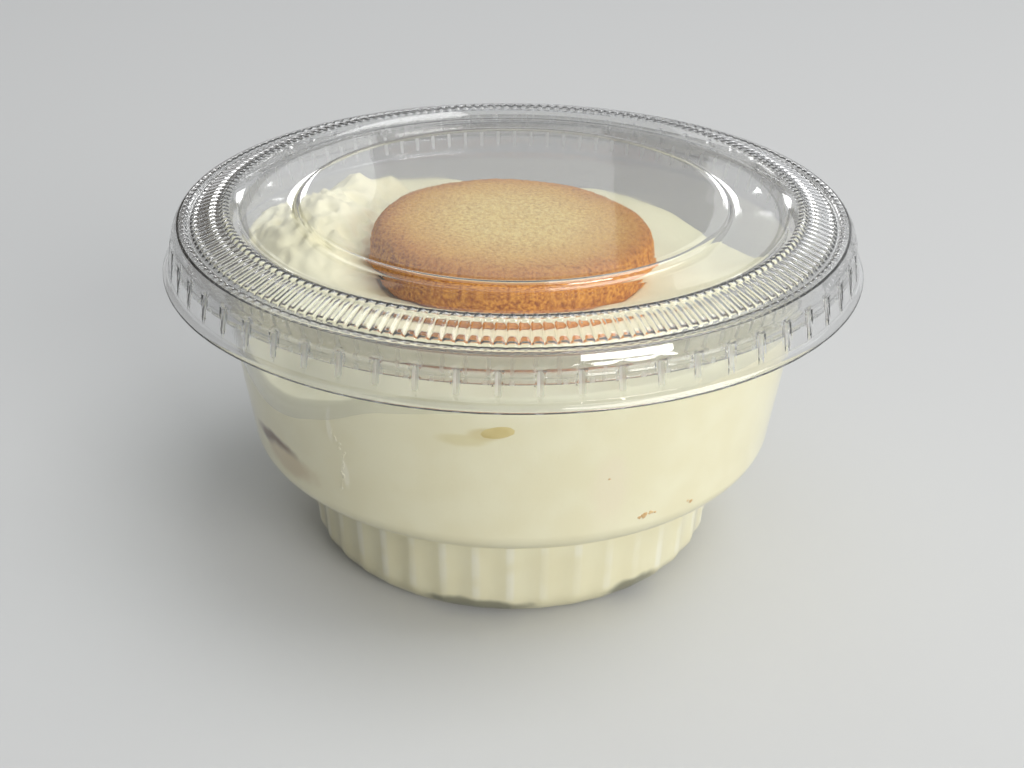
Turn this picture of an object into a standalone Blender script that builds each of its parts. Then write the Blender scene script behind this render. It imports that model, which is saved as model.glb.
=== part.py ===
"""Banana pudding in its clear dessert cup with a snap lid.

Metres, +Z up. The origin is the centre of the foot's underside, so the cup stands on Z = 0.
-Y is the front. Azimuth 0 is the front and grows towards +X, the right-hand side.
"""
import math

import bpy
from mathutils import Matrix, Vector, noise

MM = 0.001

# Thermoformed sheet and the gap that neighbouring pieces keep
CUP_SHEET = 0.40 * MM
LID_SHEET = 0.35 * MM
GAP = 0.30 * MM
# Corners of an offset sheet are mitred up to this limit, and points this close are one point
MITRE_LIMIT = 0.5
NEAR = 0.01 * MM
WELD = 0.001 * MM

# Cup, all on the under face of its sheet
FOOT_RING_INNER = 20.5 * MM
FOOT_RECESS = 0.9 * MM
FOOT_RADIUS = 28.9 * MM
FOOT_EDGE = 3.6 * MM
FOOT_TOP_RADIUS = 29.5 * MM
FOOT_TOP = 13.9 * MM
SHOULDER_RADIUS = 36.8 * MM
SHOULDER_TOP = 18.5 * MM
MOUTH_RADIUS = 40.8 * MM
MOUTH_HEIGHT = 44.6 * MM
RIM_RADIUS = 45.4 * MM
RIM_HEIGHT = 45.6 * MM
RIM_LIP = 1.2 * MM
RIM_CORNER = 0.5 * MM
RIM_CORNER_DROP = 0.3 * MM
FLUTES = 40
FLUTE_DEPTH = 0.25 * MM
FLUTE_START = 0.3 * FOOT_EDGE
FLUTE_SLACK = 0.1 * MM
SHOULDER_STEPS = 3
EDGE_STEPS = 3

# Lid, all on the top face of its sheet
DISC_HEIGHT = 49.5 * MM
DISC_RADIUS = 29.1 * MM
DISC_STEP = 1.1 * MM
DISC_SIDE_RUN = 1.0 * MM
RECESS_RADIUS = 36.4 * MM
RECESS_SIDE_RUN = 1.3 * MM
RECESS_SIDE_RISE = 1.2 * MM
CREST_RADIUS = 38.5 * MM
CREST_RISE = 0.45 * MM
RIB_BAND_RADIUS = 43.0 * MM
RIB_BAND_EDGE = 0.15 * MM
GROOVE_RUN = 0.6 * MM
SHOULDER_LINE_RADIUS = 45.0 * MM
SHOULDER_DROP = 1.35 * MM
SHOULDER_CORNER_RUN = 0.8 * MM
SHOULDER_CORNER_DROP = 0.7 * MM
SKIRT_TOP_RADIUS = 46.25 * MM
SKIRT_TOP_DROP = 3.1 * MM
SKIRT_RADIUS = 47.05 * MM
SKIRT_DROP = 7.3 * MM
LID_RADIUS = 47.4 * MM
FLANGE_DROP = 0.4 * MM
LID_STEPS = 64

# Pudding: the level fill and what rises or sinks from it
FILL_HEIGHT = 39.2 * MM
PUDDING_STEPS = 64
SURFACE_RINGS = 12
RIPPLE = 0.35 * MM
RIPPLE_LENGTH = 7.0 * MM
WHIP = 1.3 * MM
WHIP_LENGTH = 5.0 * MM
WHIP_REACH = 13.0 * MM

# Vanilla wafers and the banana slice
WAFER_RADIUS = 19.3 * MM
WAFER_THICKNESS = 8.6 * MM
WAFER_DOME = 0.3 * MM
WAFER_STEPS = 44
WAFER_UNEVEN = 0.25 * MM
THIRD_WAVE_SHARE = 0.6
THIRD_WAVE_TURN = 2.1
# Top of a wafer: share of its radius, share of the dome's fall
WAFER_TOP = ((0.62, 0.3), (0.86, 1.0))
# Side of a wafer from its upper edge down: share of its radius, share of its thickness
WAFER_SIDE = ((0.945, 0.90), (0.985, 0.74), (1.0, 0.50), (0.985, 0.27), (0.93, 0.07), (0.87, 0.0))
SLICE_RADIUS = 11.0 * MM
SLICE_THICKNESS = 5.4 * MM
SLICE_STEPS = 36
SLICE_RIM_STEPS = 6

OPEN_ABOVE = 12.0 * MM
PIECE_CREASE = 40.0
PUDDING_CREASE = 60.0
TOP_WAFER_SEED = 0.7
SIDE_WAFER_SEED = 2.4
TOP_WAFER_PLACE = Vector((-0.1 * MM, -1.0 * MM, 36.9 * MM))
TOP_WAFER_TILT = (0.0, math.radians(2.0), 0.0)
SIDE_WAFER_AZIMUTH = math.radians(-57.0)
SIDE_WAFER_REACH = 18.15 * MM
SIDE_WAFER_HEIGHT = 17.2 * MM
SIDE_WAFER_TILT = (math.radians(2.0), math.radians(9.0), 0.0)
SLICE_AZIMUTH = math.radians(-0.5)
SLICE_REACH = 28.3 * MM
SLICE_HEIGHT = 30.3 * MM
SLICE_TILT = (math.radians(-6.0), math.radians(-9.0), 0.0)

# Mounds on the pudding: centre x, centre y, rise, spread
MOUNDS = (
    (-27.0 * MM, 9.0 * MM, 4.4 * MM, 9.5 * MM),
    (-24.5 * MM, 19.5 * MM, 3.0 * MM, 4.2 * MM),
    (-30.0 * MM, -3.0 * MM, 3.0 * MM, 7.0 * MM),
    (-17.5 * MM, 24.0 * MM, 1.8 * MM, 3.6 * MM),
    (2.0 * MM, 34.0 * MM, -3.2 * MM, 15.0 * MM),
    (22.0 * MM, -20.0 * MM, 0.8 * MM, 9.0 * MM),
)
# Pockets where the pudding stands off the wall: azimuth, half width, depth, inner radius
POCKETS = (
    (math.radians(-54.0), math.radians(26.0), 9.0 * MM, 24.0 * MM),
    (math.radians(122.0), math.radians(27.0), 5.6 * MM, 14.0 * MM),
)


def material(name, colour, roughness, alpha=1.0, transmission=0.0):
    """Principled material with the piece's own colour and gloss."""
    made = bpy.data.materials.new(name)
    made.use_nodes = True
    shader = made.node_tree.nodes["Principled BSDF"]
    shader.inputs["Base Color"].default_value = (*colour, 1.0)
    shader.inputs["Roughness"].default_value = roughness
    shader.inputs["Alpha"].default_value = alpha
    shader.inputs["Transmission Weight"].default_value = transmission
    return made


def offset(path, distance):
    """Path moved to its left by a distance, with mitred corners; axis points stay on the axis."""
    moved = []
    for i, (r, z) in enumerate(path):
        normals = []
        if i > 0:
            normals.append(left_normal(path[i - 1], path[i]))
        if i < len(path) - 1:
            normals.append(left_normal(path[i], path[i + 1]))
        bisector = sum(normals, Vector((0.0, 0.0))).normalized()
        reach = distance / max(bisector.dot(normals[0]), MITRE_LIMIT)
        moved.append((0.0 if r == 0.0 else r + bisector.x * reach, z + bisector.y * reach))
    return moved


def left_normal(start, end):
    """Unit normal on the left of a segment in the radius and height plane."""
    along = Vector((end[0] - start[0], end[1] - start[1])).normalized()
    return Vector((-along.y, along.x))


def quarter(centre, across, up, first, last, steps):
    """Points of an elliptical arc between two angles measured from straight down."""
    points = []
    for i in range(steps + 1):
        angle = first + (last - first) * i / steps
        points.append((centre[0] + across * math.sin(angle), centre[1] - up * math.cos(angle)))
    return points


def cup_body():
    """Under face of the cup's sheet, from the centre of the foot up to its mouth."""
    flat = FOOT_RADIUS - FOOT_EDGE
    path = [
        (0.0, FOOT_RECESS),
        (FOOT_RING_INNER - FOOT_RECESS, FOOT_RECESS),
        (FOOT_RING_INNER, 0.0),
    ]
    path += quarter((flat, FOOT_EDGE), FOOT_EDGE, FOOT_EDGE, 0.0, math.pi / 2, EDGE_STEPS)
    path += quarter(
        (FOOT_TOP_RADIUS, SHOULDER_TOP),
        SHOULDER_RADIUS - FOOT_TOP_RADIUS,
        SHOULDER_TOP - FOOT_TOP,
        0.0,
        math.pi / 2,
        SHOULDER_STEPS,
    )
    path.append((MOUTH_RADIUS, MOUTH_HEIGHT))
    return path


def cup_rim():
    """Under face of the flat rim and its turned-down lip."""
    return [
        (MOUTH_RADIUS + RIM_CORNER, RIM_HEIGHT - RIM_CORNER_DROP),
        (RIM_RADIUS - RIM_CORNER, RIM_HEIGHT),
        (RIM_RADIUS, RIM_HEIGHT - RIM_CORNER),
        (RIM_RADIUS, RIM_HEIGHT - RIM_LIP),
    ]


def lid_top():
    """Top face of the lid's sheet, from the middle of the disc out to the flange."""
    recess = DISC_HEIGHT - DISC_STEP
    crest = DISC_HEIGHT + CREST_RISE
    shoulder = DISC_HEIGHT - SHOULDER_DROP
    return [
        (0.0, DISC_HEIGHT),
        (DISC_RADIUS, DISC_HEIGHT),
        (DISC_RADIUS + DISC_SIDE_RUN, recess),
        (RECESS_RADIUS, recess),
        (RECESS_RADIUS + RECESS_SIDE_RUN, recess + RECESS_SIDE_RISE),
        (CREST_RADIUS, crest),
        (RIB_BAND_RADIUS, shoulder + RIB_BAND_EDGE),
        (RIB_BAND_RADIUS + GROOVE_RUN, shoulder - RIB_BAND_EDGE),
        (SHOULDER_LINE_RADIUS, shoulder),
        (SHOULDER_LINE_RADIUS + SHOULDER_CORNER_RUN, shoulder - SHOULDER_CORNER_DROP),
        (SKIRT_TOP_RADIUS, DISC_HEIGHT - SKIRT_TOP_DROP),
        (SKIRT_RADIUS, DISC_HEIGHT - SKIRT_DROP),
        (LID_RADIUS, DISC_HEIGHT - SKIRT_DROP - FLANGE_DROP),
    ]


def wafer_side():
    """Right half of a wafer's section: low dome, soft edge, bulging side and flat underside."""
    path = [(0.0, WAFER_THICKNESS)]
    path += [(r * WAFER_RADIUS, WAFER_THICKNESS - fall * WAFER_DOME) for r, fall in WAFER_TOP]
    path += [(r * WAFER_RADIUS, z * WAFER_THICKNESS) for r, z in WAFER_SIDE]
    return path + [(0.0, 0.0)]


def slice_side():
    """Right half of a banana slice's section, with its rounded rim."""
    half = SLICE_THICKNESS / 2
    rim = quarter((SLICE_RADIUS - half, half), half, half, 0.0, math.pi, SLICE_RIM_STEPS)
    return [(0.0, SLICE_THICKNESS)] + list(reversed(rim)) + [(0.0, 0.0)]


def open_upwards(path, height):
    """Path whose part above its widest point goes straight up to a height."""
    widest = max(range(len(path)), key=lambda i: path[i][0])
    return [(0.0, height), (path[widest][0], height)] + path[widest:]


def turned(name, path, steps, collection):
    """Closed solid turned about Z from a path that starts and ends on the axis."""
    mesh = bpy.data.meshes.new(name)
    edges = [(i, i + 1) for i in range(len(path) - 1)]
    mesh.from_pydata([(r, 0.0, z) for r, z in path], edges, [])
    profile = bpy.data.objects.new(name + "_profile", mesh)
    collection.objects.link(profile)
    screw = profile.modifiers.new("Turn", "SCREW")
    screw.axis = "Z"
    screw.angle = 2 * math.pi
    screw.steps = steps
    screw.render_steps = steps
    screw.use_merge_vertices = True
    screw.merge_threshold = WELD
    return baked(name, profile, collection)


def baked(name, source, collection):
    """New object holding the evaluated mesh of another, which is then removed."""
    graph = bpy.context.evaluated_depsgraph_get()
    mesh = bpy.data.meshes.new_from_object(source.evaluated_get(graph))
    made = bpy.data.objects.new(name, mesh)
    made.matrix_world = source.matrix_world.copy()
    collection.objects.link(made)
    bpy.data.objects.remove(source, do_unlink=True)
    return made


def boolean(target, tool, operation, collection):
    """Target after one Boolean with a tool, under the target's own name."""
    cut = target.modifiers.new("Cut", "BOOLEAN")
    cut.operation = operation
    cut.object = tool
    cut.solver = "EXACT"
    bpy.context.view_layer.update()
    name = target.name
    target.name = name + "_blank"
    return baked(name, target, collection)


def flute_foot(cup):
    """Press the flutes into the foot: every second column of points moves in."""
    step = math.pi / FLUTES
    for vertex in cup.data.vertices:
        radius = math.hypot(vertex.co.x, vertex.co.y)
        on_foot = FOOT_RADIUS - FOOT_EDGE < radius < FOOT_TOP_RADIUS + FLUTE_SLACK
        if not on_foot or not FLUTE_START < vertex.co.z < FOOT_TOP + CUP_SHEET:
            continue
        column = round(math.atan2(vertex.co.y, vertex.co.x) / step)
        if column % 2:
            scale = (radius - FLUTE_DEPTH) / radius
            vertex.co.x *= scale
            vertex.co.y *= scale


def smoothstep(value):
    """Ease from 0 to 1."""
    held = min(max(value, 0.0), 1.0)
    return held * held * (3.0 - 2.0 * held)


def pudding_height(x, y):
    """Height of the pudding's top surface at a point."""
    radius = math.hypot(x, y)
    azimuth = math.atan2(x, -y)
    height = FILL_HEIGHT
    for mound_x, mound_y, rise, spread in MOUNDS:
        away = math.hypot(x - mound_x, y - mound_y) / spread
        height += rise * math.exp(-away * away)
    for centre, half_width, depth, inner in POCKETS:
        turn = (azimuth - centre + math.pi) % (2 * math.pi) - math.pi
        reach = smoothstep((radius - inner) / (MOUTH_RADIUS - inner))
        height -= depth * reach * math.exp(-((turn / half_width) ** 2))
    from_peak = math.hypot(x - MOUNDS[0][0], y - MOUNDS[0][1]) / WHIP_REACH
    rough = math.exp(-from_peak * from_peak)
    height += RIPPLE * noise.noise(Vector((x, y, 0.0)) / RIPPLE_LENGTH)
    height += WHIP * rough * noise.noise(Vector((x, y, 0.6 * WHIP_LENGTH)) / WHIP_LENGTH)
    return height


def inside_path():
    """Outer limit of the pudding: the cup's inner face less the gap, from the foot up."""
    path = []
    for r, z in offset(cup_body(), CUP_SHEET + GAP):
        fluted = r > FOOT_RING_INNER and z < FOOT_TOP + CUP_SHEET + GAP
        path.append((r - FLUTE_DEPTH if fluted else r, z))
    return path


def inside_radius(height):
    """Radius of the pudding's outer limit on the tapered wall at a height."""
    (low_r, low_z), (high_r, high_z) = inside_path()[-2:]
    return low_r + (high_r - low_r) * (height - low_z) / (high_z - low_z)


def make_pudding(collection):
    """Turned filling whose top rings are then raised to the surface's height."""
    wall = inside_radius(FILL_HEIGHT)
    rings = [wall * i / SURFACE_RINGS for i in range(SURFACE_RINGS + 1)]
    path = [(r, FILL_HEIGHT) for r in rings]
    path += list(reversed(inside_path()[:-1]))
    pudding = turned("pudding", path, PUDDING_STEPS, collection)
    for vertex in pudding.data.vertices:
        if vertex.co.z < FILL_HEIGHT - NEAR:
            continue
        x, y = vertex.co.x, vertex.co.y
        vertex.co.z = pudding_height(x, y)
        radius = math.hypot(x, y)
        if radius > wall - NEAR:
            scale = inside_radius(vertex.co.z) / radius
            vertex.co.x *= scale
            vertex.co.y *= scale
    return pudding


def make_envelope(collection):
    """Inside of the cup as one solid, which trims what touches the wall."""
    inside = inside_path()
    path = [(0.0, inside[-1][1]), inside[-1]] + list(reversed(inside[:-1]))
    return turned("envelope", path, PUDDING_STEPS, collection)


def uneven_rim(piece, amount, seed):
    """Move a baked piece's side in and out a little, as hand-dropped dough spreads."""
    for vertex in piece.data.vertices:
        angle = math.atan2(vertex.co.y, vertex.co.x)
        radius = math.hypot(vertex.co.x, vertex.co.y)
        wave = math.sin(2 * angle + seed) + THIRD_WAVE_SHARE * math.sin(3 * angle + THIRD_WAVE_TURN * seed)
        share = (radius / WAFER_RADIUS) ** 3
        vertex.co.x += amount * wave * share * math.cos(angle)
        vertex.co.y += amount * wave * share * math.sin(angle)


def place(piece, where, tilt):
    """Tilt a piece about its own origin and set it down."""
    turn = Matrix.Rotation(tilt[2], 4, "Z") @ Matrix.Rotation(tilt[1], 4, "Y")
    turn = turn @ Matrix.Rotation(tilt[0], 4, "X")
    piece.data.transform(Matrix.Translation(where) @ turn)


def off_axis(azimuth, reach, height):
    """Point at an azimuth, a distance out from the cup's axis and a height."""
    return Vector((math.sin(azimuth) * reach, -math.cos(azimuth) * reach, height))


def finish(piece, look, crease=PIECE_CREASE):
    """Give a piece its material and smooth shading with crisp edges."""
    piece.data.materials.clear()
    piece.data.materials.append(look)
    piece.data.shade_smooth()
    piece.data.set_sharp_from_angle(angle=math.radians(crease))


def clear_scene():
    """Remove whatever the scene starts with."""
    for thing in list(bpy.data.objects):
        bpy.data.objects.remove(thing, do_unlink=True)


def make_container(parts, plastic):
    """Cup and lid, each one sheet turned about Z."""
    under = cup_body() + cup_rim()
    cup = turned("cup", offset(under, CUP_SHEET) + list(reversed(under)), 2 * FLUTES, parts)
    flute_foot(cup)
    finish(cup, plastic)
    top = lid_top()
    lid = turned("lid", top + list(reversed(offset(top, -LID_SHEET))), LID_STEPS, parts)
    finish(lid, plastic)


def make_wafer(name, path, seed, where, tilt, collection):
    """Solid with a wafer's uneven round outline, turned from a path and set down tilted."""
    wafer = turned(name, path, WAFER_STEPS, collection)
    uneven_rim(wafer, WAFER_UNEVEN, seed)
    place(wafer, where, tilt)
    return wafer


def make_contents(parts, tools, cream, biscuit, banana):
    """Pudding, the wafer on top, and the wafer and banana slice that show at the wall."""
    wafer = wafer_side()
    room = offset(wafer, GAP)
    open_room = open_upwards(room, WAFER_THICKNESS + OPEN_ABOVE)
    top_pose = (TOP_WAFER_SEED, TOP_WAFER_PLACE, TOP_WAFER_TILT)
    side_place = off_axis(SIDE_WAFER_AZIMUTH, SIDE_WAFER_REACH, SIDE_WAFER_HEIGHT)
    side_pose = (SIDE_WAFER_SEED, side_place, SIDE_WAFER_TILT)
    slice_place = off_axis(SLICE_AZIMUTH, SLICE_REACH, SLICE_HEIGHT)

    top_wafer = make_wafer("top_wafer", wafer, *top_pose, parts)
    side_wafer = make_wafer("side_wafer", wafer, *side_pose, parts)
    banana_slice = turned("banana_slice", slice_side(), SLICE_STEPS, parts)
    place(banana_slice, slice_place, SLICE_TILT)

    slice_cutter = turned("slice_room", offset(slice_side(), GAP), SLICE_STEPS, tools)
    place(slice_cutter, slice_place, SLICE_TILT)
    cutters = [
        make_wafer("top_wafer_room", open_room, *top_pose, tools),
        make_wafer("side_wafer_room", room, *side_pose, tools),
        slice_cutter,
    ]
    pudding = make_pudding(parts)
    for cutter in cutters:
        pudding = boolean(pudding, cutter, "DIFFERENCE", parts)
    envelope = make_envelope(tools)
    side_wafer = boolean(side_wafer, envelope, "INTERSECT", parts)
    banana_slice = boolean(banana_slice, envelope, "INTERSECT", parts)
    for helper in cutters + [envelope]:
        bpy.data.objects.remove(helper, do_unlink=True)
    finish(pudding, cream, PUDDING_CREASE)
    finish(top_wafer, biscuit)
    finish(side_wafer, biscuit)
    finish(banana_slice, banana)


def main():
    clear_scene()
    parts = bpy.data.collections.new("banana_pudding_cup")
    tools = bpy.data.collections.new("cutters")
    bpy.context.scene.collection.children.link(parts)
    bpy.context.scene.collection.children.link(tools)
    plastic = material("clear_plastic", (0.93, 0.95, 0.95), 0.06, alpha=0.35, transmission=1.0)
    cream = material("banana_cream", (0.86, 0.82, 0.64), 0.45)
    biscuit = material("vanilla_biscuit", (0.78, 0.55, 0.28), 0.75)
    banana = material("banana_flesh", (0.80, 0.66, 0.36), 0.5)
    make_container(parts, plastic)
    make_contents(parts, tools, cream, biscuit, banana)


main()
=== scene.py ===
"""Looks of the banana pudding in its clear dessert cup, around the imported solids.

Metres, +Z up, the cup standing on Z = 0. -Y is the front, azimuth 0 is the front and grows
towards +X. Cup, lid and everything in the cup is modelled again here at full fineness.
"""
import math

import bpy
from mathutils import Matrix, Vector, noise


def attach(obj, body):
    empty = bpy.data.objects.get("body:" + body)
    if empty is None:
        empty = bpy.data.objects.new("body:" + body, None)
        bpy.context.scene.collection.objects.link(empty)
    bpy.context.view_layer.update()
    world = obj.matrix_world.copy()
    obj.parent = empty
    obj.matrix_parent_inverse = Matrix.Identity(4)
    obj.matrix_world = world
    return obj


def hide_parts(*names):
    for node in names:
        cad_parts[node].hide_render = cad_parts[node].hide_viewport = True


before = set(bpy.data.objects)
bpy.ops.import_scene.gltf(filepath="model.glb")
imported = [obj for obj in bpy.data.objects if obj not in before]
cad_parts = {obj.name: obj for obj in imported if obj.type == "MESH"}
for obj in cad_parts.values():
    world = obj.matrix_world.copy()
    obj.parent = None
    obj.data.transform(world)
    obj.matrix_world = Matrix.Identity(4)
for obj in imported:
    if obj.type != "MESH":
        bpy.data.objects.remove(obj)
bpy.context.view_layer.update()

MM = 0.001
BODY = "root"

# Camera, matched to the photograph, whose frame is 1024 by 768
CAMERA_PLACE = Vector((0.0, -195.0 * MM, 123.46 * MM))
CAMERA_PITCH = math.radians(-27.85)
CAMERA_ROLL = math.radians(0.6)
CAMERA_SENSOR = 36.0
CAMERA_LENS = 53.77

# Room light low on the left, what the right and the ceiling add, and the floor
ROOM_LOW = (0.060, 0.046, 0.032, 1.0)
ROOM_HIGH = (0.86, 0.90, 0.94, 1.0)
ROOM_RIGHT_SHARE = 0.45
ROOM_CEILING_SHARE = 0.9
FLOOR_PALE = (0.52, 0.52, 0.515, 1.0)
FLOOR_HALF_SIZE = 6.0

# Point that the studio lights aim at
LIGHT_AIM = Vector((0.0, 0.0, 30.0 * MM))
# Studio lights: name, azimuth and elevation in degrees, distance, width, height, watts, colour.
# The veils, the haze and the glints are panels that the lid mirrors.
STUDIO_LIGHTS = (
    ("key_window", 37.0, 22.0, 0.9, 0.42, 0.30, 4.5, (1.0, 0.985, 0.96)),
    ("overhead", 95.0, 62.0, 1.0, 0.7, 0.7, 4.8, (1.0, 1.0, 1.0)),
    ("high_panel", 52.0, 47.0, 0.9, 0.75, 0.22, 0.8, (1.0, 1.0, 1.0)),
    ("side_panel", 98.0, 11.0, 0.8, 0.4, 0.44, 0.35, (0.98, 0.99, 1.0)),
    ("back_left_panel", -140.0, 48.0, 0.9, 0.6, 0.3, 0.4, (0.98, 0.99, 1.0)),
    ("left_veil", 186.0, 22.0, 1.2, 0.42, 0.26, 0.09, (0.97, 0.99, 1.0)),
    ("right_veil", 160.0, 21.5, 1.2, 0.42, 0.32, 0.20, (0.97, 0.99, 1.0)),
    ("right_glint", 163.5, 16.5, 1.2, 0.17, 0.15, 0.34, (1.0, 1.0, 1.0)),
    ("left_glint", -163.5, 16.5, 1.2, 0.17, 0.15, 0.34, (1.0, 1.0, 1.0)),
    ("left_haze", 192.2, 18.7, 1.2, 0.22, 0.16, 0.055, (0.97, 0.99, 1.0)),
    ("low_band", 180.0, 4.0, 1.2, 2.4, 0.24, 1.0, (0.97, 0.98, 1.0)),
)

# Cup, on the under face of its sheet
CUP_SHEET = 0.40 * MM
FOOT_RING_INNER = 20.5 * MM
FOOT_RECESS = 0.9 * MM
FOOT_RADIUS = 28.9 * MM
FOOT_EDGE = 3.6 * MM
FOOT_TOP_RADIUS = 29.5 * MM
FOOT_TOP = 13.9 * MM
SHOULDER_RADIUS = 36.8 * MM
SHOULDER_TOP = 18.5 * MM
STACK_RADIUS = 39.85 * MM
STACK_HEIGHT = 41.4 * MM
MOUTH_RADIUS = 40.8 * MM
MOUTH_HEIGHT = 44.6 * MM
RIM_RADIUS = 45.4 * MM
RIM_HEIGHT = 45.6 * MM
RIM_LIP = 1.2 * MM
FLUTES = 40
FLUTE_DEPTH = 0.25 * MM
CUP_COLUMNS = 12 * FLUTES
CUP_STEP = 2.6 * MM
CUP_WAVER = 0.05 * MM
CUP_WAVER_LENGTH = 9.0 * MM

# Lid, on the top face of its sheet
LID_SHEET = 0.35 * MM
DISC_HEIGHT = 49.5 * MM
DISC_RADIUS = 29.1 * MM
DISC_STEP = 1.0 * MM
DISC_RUN = 0.35 * MM
RECESS_RADIUS = 36.4 * MM
CREST_RADIUS = 38.4 * MM
CREST_RISE = 0.15 * MM
RIB_BAND_RADIUS = 43.0 * MM
SHOULDER_LINE_RADIUS = 45.0 * MM
SHOULDER_DROP = 1.35 * MM
SKIRT_TOP_RADIUS = 45.95 * MM
SKIRT_TOP_DROP = 3.1 * MM
SKIRT_RADIUS = 46.55 * MM
SKIRT_DROP = 7.3 * MM
LID_RADIUS = 47.4 * MM
FLANGE_DROP = 0.4 * MM
LID_STEP = 1.1 * MM
RIBS = 186
RIB_HEIGHT = 0.30 * MM
RIB_START = 39.3 * MM
RIB_ROW_GAP = 0.16 * MM
BEAD_ROWS = 6
BEAD_ROW_GAP = 0.18 * MM
BEAD_RADIUS = 38.75 * MM
BEAD_HEIGHT = 0.32 * MM
BEAD_SPREAD = 0.28 * MM
DASH_RADIUS = 44.1 * MM
DASH_HEIGHT = 0.14 * MM
THREADS = 3
THREAD_PITCH = 0.42 * MM
THREAD_HEIGHT = 0.045 * MM
NOTCHES = 62
NOTCH_TURN = math.radians(-1.9)
NOTCH_DEPTH = 0.45 * MM
NOTCH_END = 0.95
NOTCH_TIP = 0.05
NOTCH_SPREAD = 0.30

# Plastic of the cup and the lid: grey tint, partly the plastic's own and partly painted shade that darkens
# what is seen through it, roughness of its haze, height of its waves, clearness
CUP_TINT_AND_SHADE = (0.80, 0.80, 0.795)
CUP_HAZE = 0.05
CUP_WAVE = 0.05 * MM
CUP_CLEAR = 0.99
LID_TINT_AND_SHADE = (0.87, 0.87, 0.87)
LID_HAZE = 0.04
LID_WAVE = 0.04 * MM
LID_CLEAR = 0.985
PLASTIC_IOR = 1.57
SHEET_WAVES = 130.0
SEEN_IN_SHADOW = (0.97, 0.98, 0.98, 1.0)

# Lines a little frosted: short ones in the cup's stacking band, and the skirt's notches
FROSTED_ROUGHNESS = 0.35
STACKING_LINES = {
    "Count": 96.0,
    "Turn": 0.0,
    "Half Width": 0.13,
    "Low": STACK_HEIGHT + 0.3 * MM,
    "High": MOUTH_HEIGHT + 0.8 * MM,
}
NOTCH_LINES = {
    "Count": float(NOTCHES),
    "Turn": NOTCH_TURN,
    "Half Width": 0.13,
    "Low": DISC_HEIGHT - SKIRT_DROP + 0.3 * MM,
    "High": DISC_HEIGHT - SKIRT_TOP_DROP,
}
# Painted highlight lines on the pudding where it meets the foot's flutes
FLUTE_HIGHLIGHT_LINES = {
    "Count": float(FLUTES),
    "Turn": 0.0,
    "Half Width": 0.16,
    "Low": 2.4 * MM,
    "High": FOOT_TOP,
}

# Pudding: level fill, what rises or sinks from it, and how far it bites into the wall
FILL_HEIGHT = 39.2 * MM
BITE = 0.06 * MM
PIECE_BITE = 0.11 * MM
EDGE_IN = 0.9 * MM
EDGE_DOWN = 2.6 * MM
PUDDING_COLUMNS = 320
SURFACE_RINGS = 96
WALL_LEVELS = 90
RIPPLE = 0.35 * MM
RIPPLE_LENGTH = 7.0 * MM
WHIP = 1.3 * MM
WHIP_LENGTH = 5.0 * MM
WHIP_REACH = 13.0 * MM
TORN = 1.2 * MM
TORN_LENGTH = 3.4 * MM
CURD = 0.10 * MM
CURD_LENGTH = 1.6 * MM

# Vanilla wafers and the banana slice
WAFER_RADIUS = 19.3 * MM
WAFER_THICKNESS = 8.6 * MM
WAFER_DOME = 0.3 * MM
WAFER_UNEVEN = 0.25 * MM
WAFER_COLUMNS = 320
WAFER_STEP = 0.32 * MM
SLICE_RADIUS = 11.0 * MM
SLICE_THICKNESS = 5.4 * MM
SLICE_COLUMNS = 120
SLICE_STEP = 0.5 * MM
TOP_WAFER_SEED = 0.7
SIDE_WAFER_SEED = 2.4
TOP_WAFER_PLACE = Vector((-0.4 * MM, -1.0 * MM, 37.5 * MM))
TOP_WAFER_TILT = (math.radians(-0.7), math.radians(2.0), 0.0)
SIDE_WAFER_AZIMUTH = math.radians(-57.0)
SIDE_WAFER_REACH = 18.15 * MM
SIDE_WAFER_HEIGHT = 17.2 * MM
SIDE_WAFER_TILT = (math.radians(2.0), math.radians(9.0), 0.0)
SLICE_AZIMUTH = math.radians(-1.2)
SLICE_REACH = 28.05 * MM
SLICE_HEIGHT = 31.3 * MM
SLICE_TILT = (math.radians(-6.0), math.radians(-9.0), 0.0)

# Grain of each food: fine scale and broad scale in waves a metre, share of the fine one
CREAM_GRAIN = (1500.0, 160.0, 0.4)
WAFER_GRAIN = (1900.0, 260.0, 0.92)
BIT_GRAIN = (3000.0, 900.0, 0.5)
BANANA_GRAIN = (900.0, 240.0, 0.3)

# Shades of each food, darker and lighter
CREAM = ((0.87, 0.81, 0.55, 1.0), (0.90, 0.85, 0.60, 1.0))
# Colour of the painted highlight lines along the foot's flutes
FLUTE_HIGHLIGHT = (0.97, 0.95, 0.84, 1.0)
WAFER_MIDDLE = ((0.70, 0.46, 0.15, 1.0), (0.87, 0.66, 0.27, 1.0))
WAFER_RING = ((0.60, 0.31, 0.075, 1.0), (0.76, 0.45, 0.13, 1.0))
WAFER_RIM = ((0.42, 0.14, 0.022, 1.0), (0.60, 0.25, 0.05, 1.0))
WAFER_SIDE = ((0.44, 0.12, 0.008, 1.0), (0.88, 0.38, 0.05, 1.0))
BANANA = ((0.64, 0.50, 0.18, 1.0), (0.76, 0.63, 0.28, 1.0))
SOAKED_CRUMB = ((0.62, 0.37, 0.14, 1.0), (0.78, 0.56, 0.28, 1.0))
PALE_FLECK = ((0.93, 0.86, 0.60, 1.0), (0.99, 0.94, 0.74, 1.0))

# Scale of the noise that makes the edges of the stains and of the painted shade ragged, in waves a metre
STAIN_AND_SHADE_RAGGED_SCALE = 420.0
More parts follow.
